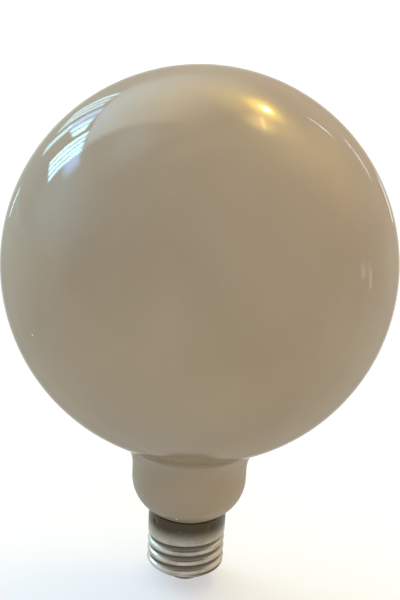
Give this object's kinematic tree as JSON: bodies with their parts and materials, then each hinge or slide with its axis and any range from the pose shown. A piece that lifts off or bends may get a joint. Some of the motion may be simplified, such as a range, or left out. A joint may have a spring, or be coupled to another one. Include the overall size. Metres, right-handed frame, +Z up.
{
  "type": "globe light bulb",
  "caption": "Large opal glass globe bulb with a short neck and rounded shoulder on an Edison screw cap, screwed into a lamp holder to give diffuse light.",
  "frame": {"origin": "middle of the centre contact's face, on the bulb's axis, where the bulb seats in its lamp holder", "axes": "+Z up the bulb's axis, from the cap to the crown of the globe; the picture's camera stands on the -Y side"},
  "size_m": [0.125, 0.125, 0.1748],
  "materials": {
    "opal_glass": "gloss",
    "nickel": "satin",
    "black_glass": "gloss",
    "brass": "satin"
  },
  "bodies": {
    "root": {"glass_bulb": "opal_glass", "screw_shell": "nickel", "insulator": "black_glass", "centre_contact": "brass"}
  },
  "joints": []
}
